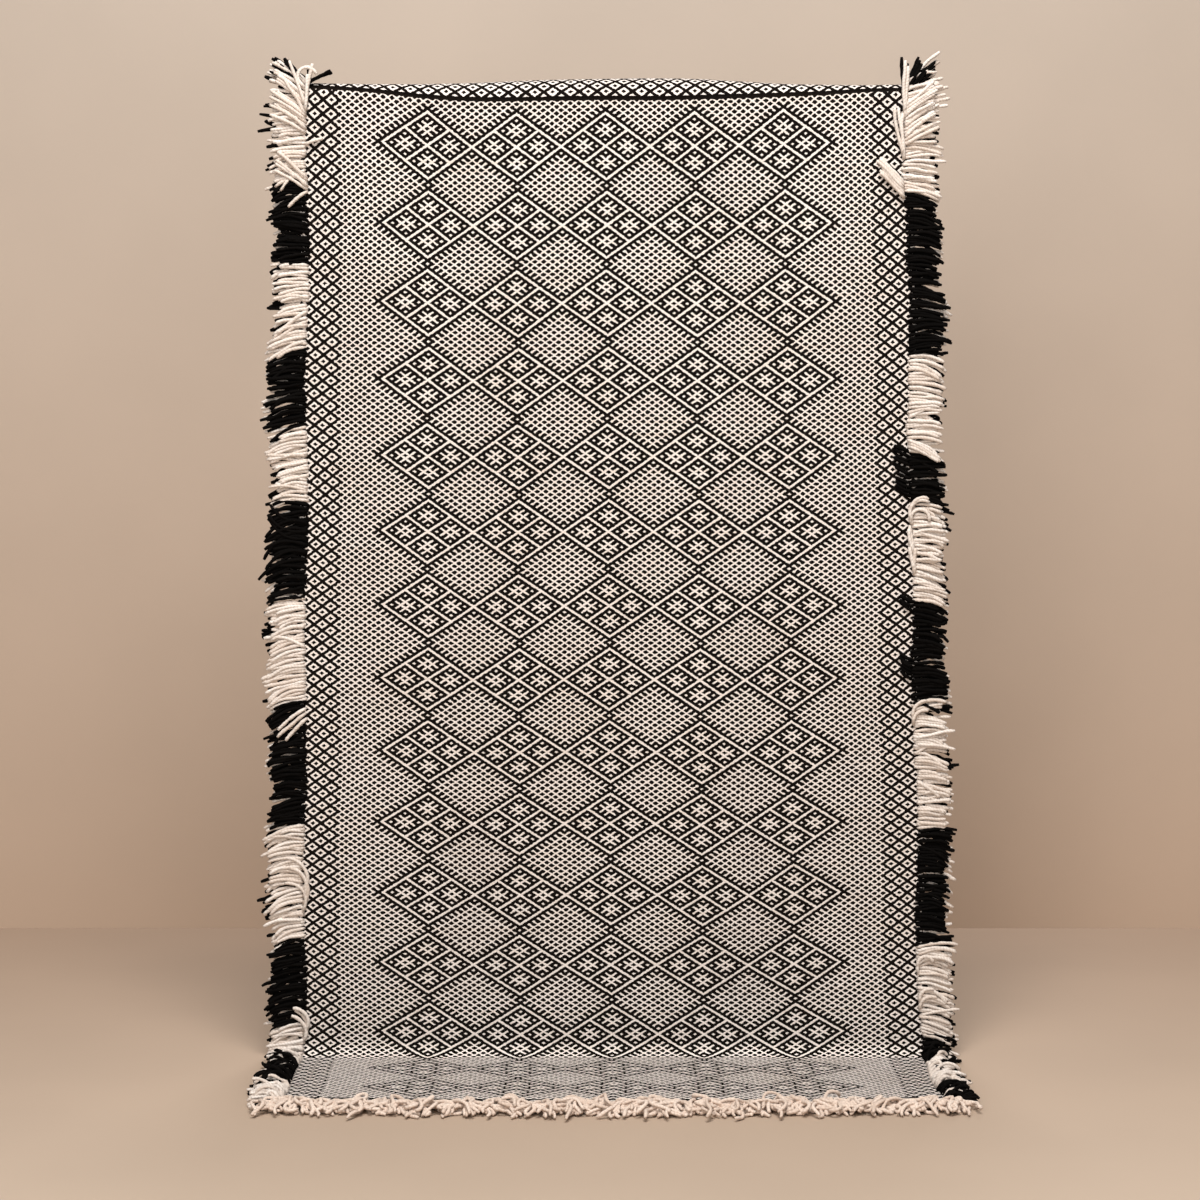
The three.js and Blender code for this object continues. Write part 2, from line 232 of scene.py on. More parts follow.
RIGHT_LOOSE = table(("at", "span", "yarns", "wool", "turn", "curl", "length", "lies"), [
    (0.030, 0.004, 2, "black", 94, -4, 0.066, -0.001),
    (0.030, 0.016, 5, "black", 57, 2, 0.061, -0.002),
    (0.070, 0.010, 2, "cream", 90, -4, 0.096, 0.009),
    (0.140, 0.014, 3, "cream", 106, -20, 0.088, 0.009),
    (0.086, 0.070, 12, "cream", 38, -8, 0.070, 0.009),
    (0.204, 0.026, 6, "cream", 131, 8, 0.070, 0.010),
    (0.676, 0.012, 3, "cream", -26, -6, 0.070, 0.011),
    (0.735, 0.086, 11, "black", 164, -14, 0.033, 0.007),
    (0.826, 0.012, 3, "cream", 132, -205, 0.070, 0.011),
    (0.884, 0.008, 2, "cream", 118, -24, 0.050, 0.009),
    (0.924, 0.008, 2, "cream", 104, -10, 0.050, 0.009),
    (0.990, 0.018, 3, "black", 158, -20, 0.032, 0.007),
    (1.110, 0.036, 6, "black", 170, -40, 0.028, 0.007),
    (1.212, 0.010, 2, "cream", 118, -150, 0.050, 0.010),
    (1.250, 0.012, 2, "cream", 6, -16, 0.078, 0.009),
    (1.700, 0.012, 2, "cream", 120, -170, 0.050, 0.009),
    (1.770, 0.014, 2, "cream", 112, -160, 0.050, 0.009),
    (1.665, 0.020, 4, "cream", 20, -50, 0.080, 0.009),
])
LOOSE_SEWN = 0.016  # how far inside the edge they leave the cloth
LOOSE_SPREAD = 8  # degrees between a lock's first yarn and its last

# The camera, in front of the panel
CAMERA_AT = (-0.018, -5.042, -0.590)
CAMERA_PITCH = 4.62
LENS = 78.12
SENSOR = 36.0
WALL_AT = 1.18


def smoothstep(x, low, high):
    """0 up to low, 1 from high, and the cubic 3t^2 - 2t^3 between them."""
    t = np.clip((x - low) / (high - low), 0, 1)
    return t * t * (3 - 2 * t)


def lerp(a, b, t):
    """The straight mix a + (b - a) t."""
    return a + (b - a) * t


def fold_value(x, column):
    """A column of the fold's table at x: the cubic through its rows whose slope at each row
    is that of the line through the row's two neighbours."""
    knots = np.array([row["x"] for row in FOLD])
    values = np.array([row[column] for row in FOLD])
    last = len(FOLD) - 1
    i = np.clip(np.searchsorted(knots, x) - 1, 0, last - 1)
    before = np.maximum(i - 1, 0)
    after = np.minimum(i + 2, last)
    span = knots[i + 1] - knots[i]
    t = np.clip((x - knots[i]) / span, 0, 1)
    leaving = (values[i + 1] - values[before]) / (knots[i + 1] - knots[before]) * span
    arriving = (values[after] - values[i]) / (knots[after] - knots[i]) * span
    rise = values[i + 1] - values[i]
    cubic = leaving + arriving - 2 * rise
    return values[i] + t * (leaving + t * (3 * rise - 2 * leaving - arriving + t * cubic))


def fold_at(x):
    """The fold at x: its crest, its radii in front of and behind the crest, the arc from the
    crest to the black line, r acos(1 - drop / r), and the height at which the rows below
    would hang if the fold alone carried them."""
    crest = fold_value(x, "crest")
    drop = fold_value(x, "drop")
    radius = FOLD_RADIUS + FOLD_GROWTH * drop
    back = FLAP_BACK - PANEL_BACK - radius
    arc = radius * np.arccos(1 - drop / radius)
    hang = crest - radius * (1 - math.pi / 2) - arc
    return crest, radius, back, arc, hang


LEVEL = float(fold_at(np.array([0.0]))[4][0])


def cloth_point(across, along):
    """The cloth's middle surface. across runs from -1 to 1 and along is measured over the
    cloth from the black line: a quarter circle behind the crest and one in front of it, a
    straight fall with slow sine ripples, a quarter circle at the floor, then level."""
    down = np.maximum(along, 0)
    share = down / LINE_TO_FOOT
    half = CELLS_TO_EDGE * (CELL_AT_TOP + CELL_SPREAD * down)
    start = np.where(across < 0, *SWAY_STARTS)
    sway = EDGE_SWAY * np.sin(2 * math.pi * down / SWAY_LENGTH + start)
    x = across * half + across ** 5 * sway + lerp(DRIFT_TOP, DRIFT_FOOT, share)
    crest, radius, back, arc, hang = fold_at(x)
    from_crest = along + arc

    behind = np.maximum(-from_crest, 0)
    turn = np.minimum(behind / back, math.pi / 2)
    y_back = PANEL_BACK + radius + back * np.sin(turn)
    z_back = crest - back * (1 - np.cos(turn)) - np.maximum(behind - back * math.pi / 2, 0)

    ahead = np.maximum(from_crest, 0)
    turn = np.minimum(ahead / radius, math.pi / 2)
    y = PANEL_BACK + radius * (1 - np.sin(turn))
    z = crest - radius * (1 - np.cos(turn)) - np.maximum(ahead - radius * math.pi / 2, 0)
    z = z - (hang - LEVEL) * (1 - np.exp(-down / SLACK_LENGTH))
    z = z - CURVE_AT_FOOT * (1 - across * across) * share
    floor = THICKNESS / 2 - HANG_HEIGHT
    past = floor + BEND_RADIUS - z
    depth = WAVE_DEPTH * smoothstep(down, 0, WAVES_IN_BY) * smoothstep(-past, 0, WAVES_OUT_FROM)
    y = y + depth * np.sin(2 * math.pi * x / WAVE_LENGTH + down / WAVE_SLANT)
    y = y + depth * CROSS_SHARE * np.sin(2 * math.pi * x / CROSS_WAVE - down / CROSS_SLANT)
    over = np.maximum(past, 0)
    bend = np.minimum(over / BEND_RADIUS, math.pi / 2)
    y = y - BEND_RADIUS * (1 - np.cos(bend)) - np.maximum(over - BEND_RADIUS * math.pi / 2, 0)
    z = np.where(past > 0, floor + BEND_RADIUS * (1 - np.sin(bend)), z)

    is_back = from_crest < 0
    return np.stack([x, np.where(is_back, y_back, y), np.where(is_back, z_back, z)], -1)


def unit(vectors):
    """Vectors scaled to length 1."""
    return vectors / np.linalg.norm(vectors, axis=-1, keepdims=True)


def cloth_frame(across, along):
    """The directions up the cloth and out of its woven front, by central differences."""
    step = 0.0005
    lengthways = cloth_point(across, along + step) - cloth_point(across, along - step)
    sideways = cloth_point(across + 0.001, along) - cloth_point(across - 0.001, along)
    return -unit(lengthways), unit(np.cross(lengthways, sideways))


def weave_row(along):
    """The weft cell at a distance along the cloth. Distance is a v - b v^2, solved for v;
    beyond the line at the top the cells keep their first length."""
    a = CELL_LONG * 1000
    below = np.maximum(along, 0) * 1000
    v = (a - np.sqrt(a * a - 4 * CELL_SHRINK * below)) / (2 * CELL_SHRINK)
    return np.where(along < 0, along / CELL_LONG, v)


def make_piece(name, points, quads, materials, face_material, maps, values=None):
    """A mesh object at the origin from arrays: its points, its four-sided faces, the
    material of each face, and a UV place for each corner of each face in each map."""
    mesh = bpy.data.meshes.new(name)
    mesh.vertices.add(len(points))
    mesh.vertices.foreach_set("co", points.astype(np.float32).ravel())
    mesh.loops.add(quads.size)
    mesh.loops.foreach_set("vertex_index", quads.astype(np.int32).ravel())
    mesh.polygons.add(len(quads))
    mesh.polygons.foreach_set("loop_start", np.arange(len(quads), dtype=np.int32) * 4)
    for material in materials:
        mesh.materials.append(material)
    mesh.polygons.foreach_set("material_index", face_material.astype(np.int32))
    mesh.update(calc_edges=True)
    mesh.validate()
    mesh.shade_smooth()
    for map_name, places in maps.items():
        layer = mesh.uv_layers.new(name=map_name)
        layer.data.foreach_set("uv", places.astype(np.float32).ravel())
    for value_name, numbers in (values or {}).items():
        attribute = mesh.attributes.new(value_name, "FLOAT", "POINT")
        attribute.data.foreach_set("value", numbers.astype(np.float32))
    piece = bpy.data.objects.new(name, mesh)
    bpy.context.scene.collection.objects.link(piece)
    return piece


def add_node(tree, kind, inputs, **settings):
    """A new shader node with its settings and its inputs, each of which is a socket to link
    from, a number or a colour."""
    node = tree.nodes.new(f"ShaderNode{kind}")
    for name, value in settings.items():
        setattr(node, name, value)
    for key, value in inputs.items():
        if isinstance(value, bpy.types.NodeSocket):
            tree.links.new(value, node.inputs[key])
        else:
            node.inputs[key].default_value = value
    return node


class Sums:
    """Writes arithmetic as the math nodes of one shader tree."""

    def __init__(self, tree):
        self.tree = tree

    def __call__(self, operation, *terms):
        node = add_node(self.tree, "Math", dict(enumerate(terms)), operation=operation)
        return node.outputs[0]

    def choose(self, mask, yes, no):
        """yes where the mask is 1 and no where it is 0."""
        return self("MULTIPLY_ADD", mask, self("SUBTRACT", yes, no), no)

    def flip(self, mask):
        return self("SUBTRACT", 1.0, mask)

    def near(self, value, target, reach):
        """1 where value lies within reach of target."""
        return self("COMPARE", value, target, reach)


def new_group(name, inputs, outputs):
    """An empty shader node group with the sockets given, and its two end nodes."""
    tree = bpy.data.node_groups.new(name, "ShaderNodeTree")
    for socket, kind in inputs:
        tree.interface.new_socket(socket, in_out="INPUT", socket_type=kind)
    for socket, kind in outputs:
        tree.interface.new_socket(socket, in_out="OUTPUT", socket_type=kind)
    return tree, tree.nodes.new("NodeGroupInput"), tree.nodes.new("NodeGroupOutput")


def small_diamonds(sums, across, along):
    """1 on the cream of the border's small diamonds, whose middles are at (0, 0) and every
    (8, 0) and (4, 4) cells: black where a diagonal is 2 past a multiple of 4, and in the
    diamond's middle."""
    p = sums("PINGPONG", sums("MULTIPLY", sums("ADD", across, along), 0.5), 2.0)
    q = sums("PINGPONG", sums("MULTIPLY", sums("SUBTRACT", across, along), 0.5), 2.0)
    outline = sums("GREATER_THAN", sums("MAXIMUM", p, q), SMALL_LINE_FROM - SPREAD)
    middle = sums("LESS_THAN", sums("MAXIMUM", p, q), SMALL_MIDDLE_TO + SPREAD)
    return sums.flip(sums("MAXIMUM", outline, middle))


def diamond_rows(sums, u, v):
    """1 on the cream of the field: rows of large diamonds, each filled with four small
    eight-pointed motifs and ringed by a black line and a row of short stitches, on a ground
    of black dots. p and q count cells along the two diagonals from the nearest middle."""
    column = sums("ROUND", sums("DIVIDE", u, DIAMOND_STEP))
    column = sums("MINIMUM", sums("MAXIMUM", column, -LAST_DIAMOND), LAST_DIAMOND)
    row = sums("ROUND", sums("DIVIDE", sums("SUBTRACT", v, FIRST_ROW), ROW_STEP))
    row = sums("MINIMUM", sums("MAXIMUM", row, 0.0), LAST_ROW)
    right = sums("SUBTRACT", u, sums("MULTIPLY", column, DIAMOND_STEP))
    below = sums("SUBTRACT", v, sums("MULTIPLY_ADD", row, ROW_STEP, FIRST_ROW))
    p = sums("ABSOLUTE", sums("MULTIPLY", sums("ADD", right, below), 0.5))
    q = sums("ABSOLUTE", sums("MULTIPLY", sums("SUBTRACT", right, below), 0.5))
    outer = sums("MAXIMUM", p, q)
    inner = sums("MINIMUM", p, q)

    # a and b are the same from the middle of the nearest motif
    a = sums("ABSOLUTE", sums("SUBTRACT", p, MOTIF_AT))
    b = sums("ABSOLUTE", sums("SUBTRACT", q, MOTIF_AT))
    half = 0.5 - SPREAD
    around = sums("GREATER_THAN", sums("MAXIMUM", a, b), MOTIF_HALF + half)
    corner = sums("GREATER_THAN", sums("MINIMUM", a, b), MOTIF_HALF - half)
    bars = sums("MAXIMUM", sums.near(a, 1.0, half - SPREAD), sums.near(b, 1.0, half - SPREAD))
    motif = sums("MULTIPLY", sums.flip(around), sums("MAXIMUM", corner, bars))
    cross = sums("LESS_THAN", inner, half)
    lattice = sums("MAXIMUM", cross, sums("GREATER_THAN", outer, FRAME_AT - half))
    filling = sums("MAXIMUM", lattice, motif)

    stitches = sums("LESS_THAN", sums("PINGPONG", inner, 1.0), half)
    off_p = sums("POWER", sums("SUBTRACT", 1.0, sums("PINGPONG", p, 1.0)), 4.0)
    off_q = sums("POWER", sums("SUBTRACT", 1.0, sums("PINGPONG", q, 1.0)), 4.0)
    ground = sums("GREATER_THAN", sums("ADD", off_p, off_q), DOT_RADIUS ** 4)
    outside = sums.choose(sums("GREATER_THAN", outer, STITCHES_AT + 0.5), ground, stitches)
    outside = sums("MULTIPLY", outside, sums("GREATER_THAN", outer, STITCHES_AT - half))
    return sums.choose(sums("LESS_THAN", outer, FRAME_AT + half), filling, outside)


def wandering(sums, cell, beside, noise, reach, sway, rate, start):
    """A cell's place, moved by a noise up to half of reach either way and by a slow sine
    over the other direction."""
    slow = sums("MULTIPLY", sums("SINE", sums("MULTIPLY_ADD", beside, rate, start)), sway)
    return sums("ADD", sums("MULTIPLY_ADD", noise, reach, -reach / 2), sums("ADD", cell, slow))


def weave_group():
    """The chart of the weave. Cream is 1 on cream yarn and 0 on black; Relief is the round
    top of each float of yarn, a product of two parabolas across the cell's diagonals."""
    tree, inside, outside = new_group(
        "weave chart",
        [("Cells", "NodeSocketVector")],
        [("Cream", "NodeSocketFloat"), ("Relief", "NodeSocketFloat")],
    )
    sums = Sums(tree)
    cells = inside.outputs["Cells"]
    u, v = add_node(tree, "SeparateXYZ", {0: cells}).outputs[:2]
    relief = float_tops(sums, u, v)

    # The yarns wander a little: each float by a noise, and whole rows by slow sines
    inputs = {"Vector": cells, "Scale": WANDER, "Detail": 0.0}
    noise = add_node(tree, "TexNoise", inputs, noise_dimensions="2D")
    wobble = add_node(tree, "SeparateXYZ", {0: noise.outputs["Color"]}).outputs
    u, v = (
        wandering(sums, u, v, wobble[0], reach=0.5, sway=0.30, rate=0.071, start=0.0),
        wandering(sums, v, u, wobble[1], reach=0.6, sway=0.42, rate=0.053, start=1.3),
    )
    cream = diamond_rows(sums, u, v)

    # The side borders start on a zigzag round their first column of small diamonds
    from_middle = sums("ABSOLUTE", u)
    is_left = sums("LESS_THAN", u, 0.0)
    first = sums.choose(is_left, FIRST_ROW + BORDER_SHIFT, FIRST_ROW - BORDER_SHIFT)
    side_row = sums("SUBTRACT", v, first)
    side = small_diamonds(sums, sums("SUBTRACT", from_middle, BORDER_AT), side_row)
    zigzag = sums("ADD", ZIGZAG_AT, sums("PINGPONG", side_row, 4.0))
    cream = sums.choose(sums("GREATER_THAN", from_middle, zigzag), side, cream)

    # The end borders lie beyond the two black lines
    past = sums("MAXIMUM", sums("MULTIPLY", v, -1.0), sums("SUBTRACT", v, SECOND_LINE))
    end = small_diamonds(sums, u, sums("SUBTRACT", past, 4.0))
    cream = sums.choose(sums("GREATER_THAN", past, 0.0), end, cream)
    off_line = sums("GREATER_THAN", sums("ABSOLUTE", past), LINE_HALF)
    cream = sums("MULTIPLY", cream, off_line)

    tree.links.new(cream, outside.inputs["Cream"])
    tree.links.new(relief, outside.inputs["Relief"])
    return tree


def float_tops(sums, u, v):
    """(1 - 4 a^2)(1 - 4 b^2), where a and b are the distances from the nearest float's
    middle along the two diagonals."""
    shifted = sums("SUBTRACT", v, 1.0)
    tops = []
    for diagonal in (sums("ADD", u, shifted), sums("SUBTRACT", u, shifted)):
        off = sums("PINGPONG", sums("MULTIPLY", diagonal, 0.5), 0.5)
        tops.append(sums("MULTIPLY_ADD", sums("MULTIPLY", off, off), -4.0, 1.0))
    return sums("MULTIPLY", tops[0], tops[1])


def principled(name, roughness, specular):
    """A new material's tree and its Principled shader, for a dry matt surface."""
    material = bpy.data.materials.new(name)
    material.use_nodes = True
    tree = material.node_tree
    shader = tree.nodes["Principled BSDF"]
    shader.inputs["Roughness"].default_value = roughness
    shader.inputs["Specular IOR Level"].default_value = specular
    return material, tree, shader


def mix_colours(tree, factor, first, second):
    """A colour mix node's result; each colour is a socket or three numbers."""
    first, second = ((*c, 1.0) if isinstance(c, tuple) else c for c in (first, second))
    inputs = {0: factor, 6: first, 7: second}
    return add_node(tree, "Mix", inputs, data_type="RGBA").outputs[2]


def noise_value(tree, vector, scale, detail):
    """A noise from 0 to 1 over a vector."""
    inputs = {"Vector": vector, "Scale": scale, "Detail": detail}
    return add_node(tree, "TexNoise", inputs).outputs["Fac"]


def band_value(tree, along, scale, detail):
    """A noise from 0 to 1 that changes along one direction only."""
    inputs = {"W": along, "Scale": scale, "Detail": detail}
    return add_node(tree, "TexNoise", inputs, noise_dimensions="1D").outputs["Fac"]


def bump(tree, height, strength, distance):
    """A bump node's normal."""
    inputs = {"Height": height, "Strength": strength, "Distance": distance}
    return add_node(tree, "Bump", inputs).outputs["Normal"]


def shaded(tree, colour, amount):
    """A colour times a number."""
    inputs = {0: colour, "Scale": amount}
    return add_node(tree, "VectorMath", inputs, operation="SCALE").outputs[0]


def object_place(tree):
    """The place in the object's own metres."""
    return add_node(tree, "TexCoord", {}).outputs["Object"]


# The cloth's colours, and how many of each noise's clouds there are to a metre, or to a cell
# for the bands of weft
CLOTH_CREAM = (0.775, 0.700, 0.650)
CLOTH_WARM = (0.68, 0.585, 0.51)
CLOTH_BLACK = (0.0026, 0.0019, 0.0015)
CLOTH_WORN = (0.019, 0.014, 0.011)
DYE_PATCHES = 7.0
SPUN_WOOL = 650.0
WEFT_BANDS = 0.35


def kilim_material(name, chart, reverse):
    """One face of the cloth: the chart's cream and black yarn, each with uneven dye in patches
    and in bands of weft, over the relief of the floats and of spun wool, with painted shade in
    the valleys between the floats and between the cream's fibres."""
    material, tree, shader = principled(name, roughness=0.93, specular=0.02)
    sums = Sums(tree)
    cells = add_node(tree, "UVMap", {}, uv_map="weave").outputs[0]
    weave = add_node(tree, "Group", {}, node_tree=chart)
    tree.links.new(cells, weave.inputs["Cells"])
    relief = weave.outputs["Relief"]
    cream_mask = weave.outputs["Cream"]
    if reverse:
        cream_mask = sums.flip(cream_mask)
    place = object_place(tree)
    patches = noise_value(tree, place, DYE_PATCHES, 1.0)
    spun = noise_value(tree, place, SPUN_WOOL, 0.0)
    row = add_node(tree, "SeparateXYZ", {0: cells}).outputs[1]
    bands = band_value(tree, row, WEFT_BANDS, 2.0)

    # Cream is warmer where a band and a patch meet, and has painted shade between its fibres:
    #     it is darker where the spun wool's bump is low
    uneven = sums("MULTIPLY_ADD", bands, 1.5, sums("MULTIPLY_ADD", patches, 0.9, -1.0))
    uneven = sums("MAXIMUM", uneven, 0.0)
    cream = mix_colours(tree, uneven, CLOTH_CREAM, CLOTH_WARM)
    cream = shaded(tree, cream, sums("MULTIPLY_ADD", spun, 0.30, 0.86))
    black = mix_colours(tree, sums("MULTIPLY", spun, bands), CLOTH_BLACK, CLOTH_WORN)
    colour = mix_colours(tree, cream_mask, black, cream)
    # Painted shade: both yarns are darker in the valleys between the floats' round tops
    valley_shade = sums("MULTIPLY_ADD", relief, 0.15, 0.87)
    tree.links.new(shaded(tree, colour, valley_shade), shader.inputs["Base Color"])
    height = sums("MULTIPLY_ADD", spun, 0.4, relief)
    normal = bump(tree, height, strength=0.35, distance=0.0008)
    tree.links.new(normal, shader.inputs["Normal"])
    return material


# The same for the fringe's wools: clouds of dye and fibres to a metre; and each wool's
# lighter and darker tone, the colour of the painted shade in the grooves of its twist, and
# its sheen
DYE_CLOUDS = 45.0
FIBRES = 900.0
WOOL_LOOKS = table(("wool", "light", "dark", "groove_shade", "sheen"), [
    ("cream", (0.80, 0.735, 0.68), (0.60, 0.50, 0.425), (0.36, 0.28, 0.22), 0.08),
    ("black", (0.0022, 0.0018, 0.0016), (0.0042, 0.0034, 0.0030), (0.0012, 0.001, 0.001), 0.0),
    # The end wool is a darker and warmer copy of the cream, darkened as painted shade for the
    # yarns at the cloth's ends
    ("end", (0.76, 0.635, 0.545), (0.58, 0.45, 0.365), (0.36, 0.26, 0.20), 0.08),
])


def yarn_group():
    """The twist of a soft yarn: low ridges that wind round it, along a line of the strand's
    own map, u + v, under loose fibre. Height is the ridge; the shade mask is 1 between two
    ridges, where the wool gets painted shade."""
    tree, inside, outside = new_group(
        "twisted yarn",
        [("Strand", "NodeSocketVector"), ("Place", "NodeSocketVector")],
        [("GrooveShade", "NodeSocketFloat"), ("Height", "NodeSocketFloat")],
    )
    sums = Sums(tree)
    u, v = add_node(tree, "SeparateXYZ", {0: inside.outputs["Strand"]}).outputs[:2]
    ridge = sums("ABSOLUTE", sums("SINE", sums("MULTIPLY", sums("ADD", u, v), 2 * math.pi)))
    fibre = noise_value(tree, inside.outputs["Place"], FIBRES, 0.0)
    # The mask of the painted shade between the ridges
    tree.links.new(sums("POWER", sums.flip(ridge), 2.0), outside.inputs["GrooveShade"])
    tree.links.new(sums("MULTIPLY_ADD", fibre, 0.9, ridge), outside.inputs["Height"])
    return tree


def wool_material(twist, wool, light, dark, groove_shade, sheen):
    """Soft wool yarn. Each strand has a tone of its own between two colours, cloudy along
    its length, with painted shade darkening it between the ridges of its twist."""
    material, tree, shader = principled(f"{wool}_wool", roughness=0.95, specular=0.04)
    sums = Sums(tree)
    place = object_place(tree)
    ridges = add_node(tree, "Group", {}, node_tree=twist)
    strand = add_node(tree, "UVMap", {}, uv_map="strand")
    tree.links.new(strand.outputs[0], ridges.inputs["Strand"])
    tree.links.new(place, ridges.inputs["Place"])
    tone = add_node(tree, "Attribute", {}, attribute_name="tone").outputs["Fac"]
    cloudy = sums("MULTIPLY_ADD", noise_value(tree, place, DYE_CLOUDS, 0.0), 0.8, tone)
    colour = mix_colours(tree, sums("MULTIPLY", cloudy, 0.6), light, dark)
    # Painted shade in the grooves between the ridges of the twist
    colour = mix_colours(tree, sums("MULTIPLY", ridges.outputs["GrooveShade"], 0.35), colour, groove_shade)
    tree.links.new(colour, shader.inputs["Base Color"])
    normal = bump(tree, ridges.outputs["Height"], strength=0.5, distance=0.0006)
    tree.links.new(normal, shader.inputs["Normal"])
    shader.inputs["Sheen Weight"].default_value = sheen
    shader.inputs["Sheen Roughness"].default_value = 0.6
    return material


def cloth_rows():
    """The distances along the cloth at which the mesh has a row."""
    rows = [np.array([-TURNED_BACK])]
    for stretch in STRETCHES:
        count = round((stretch["stop"] - stretch["start"]) / stretch["step"])
        rows.append(np.linspace(stretch["start"], stretch["stop"], count + 1)[1:])
    return np.concatenate(rows)


def grid_quads(rows, columns):
    """The faces of a grid of points numbered row by row."""
    row, column = np.meshgrid(np.arange(rows - 1), np.arange(columns - 1), indexing="ij")
    first = (row * columns + column).ravel()
    return np.stack([first, first + columns, first + columns + 1, first + 1], -1)


# Where the cloth's faces lie in the bake map, OFBake: the front's two halves side by side
# below the back's two halves, with a margin round each
BAKE_MARGIN = 0.003
BAKE_FRONT_HEIGHT = 0.716
BAKE_ROOM = 1.5  # cells left free beyond the cloth's edges
BAKE_OVERLAP = 6  # cells by which each half's part reaches past the middle
SPLIT_BEFORE = 5  # and how many before it the halves part
RIM_CELLS = 1.2  # how far past the edge the rim's far side is in the maps
SELVEDGE = 0.0018  # width in which the cloth gets half as thick at its edges


def bake_places(u, v, second, reverse):
    """The place in the square of a corner at cell (u, v), with second and reverse saying
    which of the four parts its face is in."""
    first_cell = weave_row(-TURNED_BACK) - BAKE_ROOM
    middle_cell = (first_cell + weave_row(LINE_TO_FOOT) + BAKE_ROOM) / 2
    half_width = CELLS_TO_EDGE + BAKE_ROOM
    side = 0.5 * ((u + half_width) / (2 * half_width))
    side = BAKE_MARGIN + side * (1 - 4 * BAKE_MARGIN) + np.where(second, 0.5, 0.0)
    start = np.where(second, middle_cell - BAKE_OVERLAP, first_cell)
    up = (v - start) / (middle_cell - first_cell + BAKE_OVERLAP)
    bottom = np.where(reverse, BAKE_FRONT_HEIGHT, 0.0) + BAKE_MARGIN
    height = np.where(reverse, 1 - BAKE_FRONT_HEIGHT, BAKE_FRONT_HEIGHT) - 2 * BAKE_MARGIN
    return np.stack([side, bottom + up * height], -1)


def squeezed(u):
    """The chart's column at u even cells from the middle: u, and beyond SQUEEZE_FROM more
    by SQUEEZE times the square of the rest, as the cells there are narrower."""
    beyond = np.maximum(np.abs(u) - SQUEEZE_FROM, 0)
    return u + np.sign(u) * SQUEEZE * beyond ** 2


def make_cloth(front, reverse):
    """The kilim: the middle surface moved out by half its thickness on both faces, thinner
    at the selvedge, closed by a rim all round."""
    edge_step = SELVEDGE / (CELLS_TO_EDGE * CELL_AT_TOP)
    across = np.linspace(-1 + edge_step, 1 - edge_step, COLUMN_COUNT)
    across = np.concatenate([[-1.0], across, [1.0]])
    along = cloth_rows()
    rows, columns = len(along), len(across)
    s, t = np.meshgrid(across, along)
    middle = cloth_point(s, t)
    out = cloth_frame(s, t)[1]
    to_edge = (1 - np.abs(s)) * CELLS_TO_EDGE * CELL_AT_TOP
    to_end = np.minimum(t + TURNED_BACK, LINE_TO_FOOT - t)
    full = smoothstep(np.minimum(to_edge, to_end), -SELVEDGE, SELVEDGE)
    lift = (out * (THICKNESS / 2 * full)[..., None]).reshape(-1, 3)
    middle = middle.reshape(-1, 3)
    count = rows * columns
    points = np.concatenate([middle + lift, middle - lift])
    u = np.tile((s * CELLS_TO_EDGE).ravel(), 2)
    v = np.tile(weave_row(t).ravel(), 2)

    faces = grid_quads(rows, columns)
    left = np.arange(rows) * columns
    top = np.arange(columns)
    rims = []
    for edge in (left, (left + columns - 1)[::-1], top[::-1], top + (rows - 1) * columns):
        a, b = edge[:-1], edge[1:]
        rims.append(np.stack([a, a + count, b + count, b], -1))
    rim = np.concatenate(rims)
    quads = np.concatenate([faces, faces[:, ::-1] + count, rim])
    is_reverse = np.zeros(len(quads), bool)
    is_reverse[len(faces):2 * len(faces)] = True

    # A rim face takes its far corners from just past the edge in the maps
    corner_u, corner_v = u[quads], v[quads]
    far = np.zeros(quads.shape, bool)
    far[2 * len(faces):] = rim >= count
    on_side = np.zeros((len(quads), 1), bool)
    on_side[2 * len(faces):2 * len(faces) + 2 * (rows - 1)] = True
    corner_u = corner_u + np.where(far & on_side, np.sign(corner_u) * RIM_CELLS, 0)
    half_way = weave_row(np.array(LINE_TO_FOOT / 2))
    push = np.where(corner_v > half_way, RIM_CELLS, -RIM_CELLS)
    corner_v = corner_v + np.where(far & ~on_side, push, 0)
    split = (weave_row(np.array(-TURNED_BACK)) + weave_row(np.array(LINE_TO_FOOT))) / 2
    is_second = corner_v.min(-1) >= split - SPLIT_BEFORE
    second = np.broadcast_to(is_second[:, None], quads.shape)
    behind = np.broadcast_to(is_reverse[:, None], quads.shape)
    maps = {
        "weave": np.stack([squeezed(corner_u), corner_v], -1),
        "OFBake": bake_places(corner_u, corner_v, second, behind),
    }
    return make_piece("kilim_weave", points, quads, [front, reverse], is_reverse, maps)


def trace(root, out, rise, face, length, turn, lean):
    """The middle line of each yarn. Its heading turns in the plane of the cloth by the
    angles in turn, from straight out towards rise, and leaves that plane by the angles in
    lean; the line is the running sum of equal steps along the heading."""
    heading = (
        (np.cos(turn) * np.cos(lean))[..., None] * out[:, None]
        + (np.sin(turn) * np.cos(lean))[..., None] * rise[:, None]
        + np.sin(lean)[..., None] * face[:, None]
    )
    step = (length / (YARN_STEPS - 1))[:, None, None]
    moves = (heading[:, :-1] + heading[:, 1:]) / 2 * step
    start = np.zeros((len(root), 1, 3))
    return root[:, None] + np.concatenate([start, np.cumsum(moves, axis=1)], axis=1)


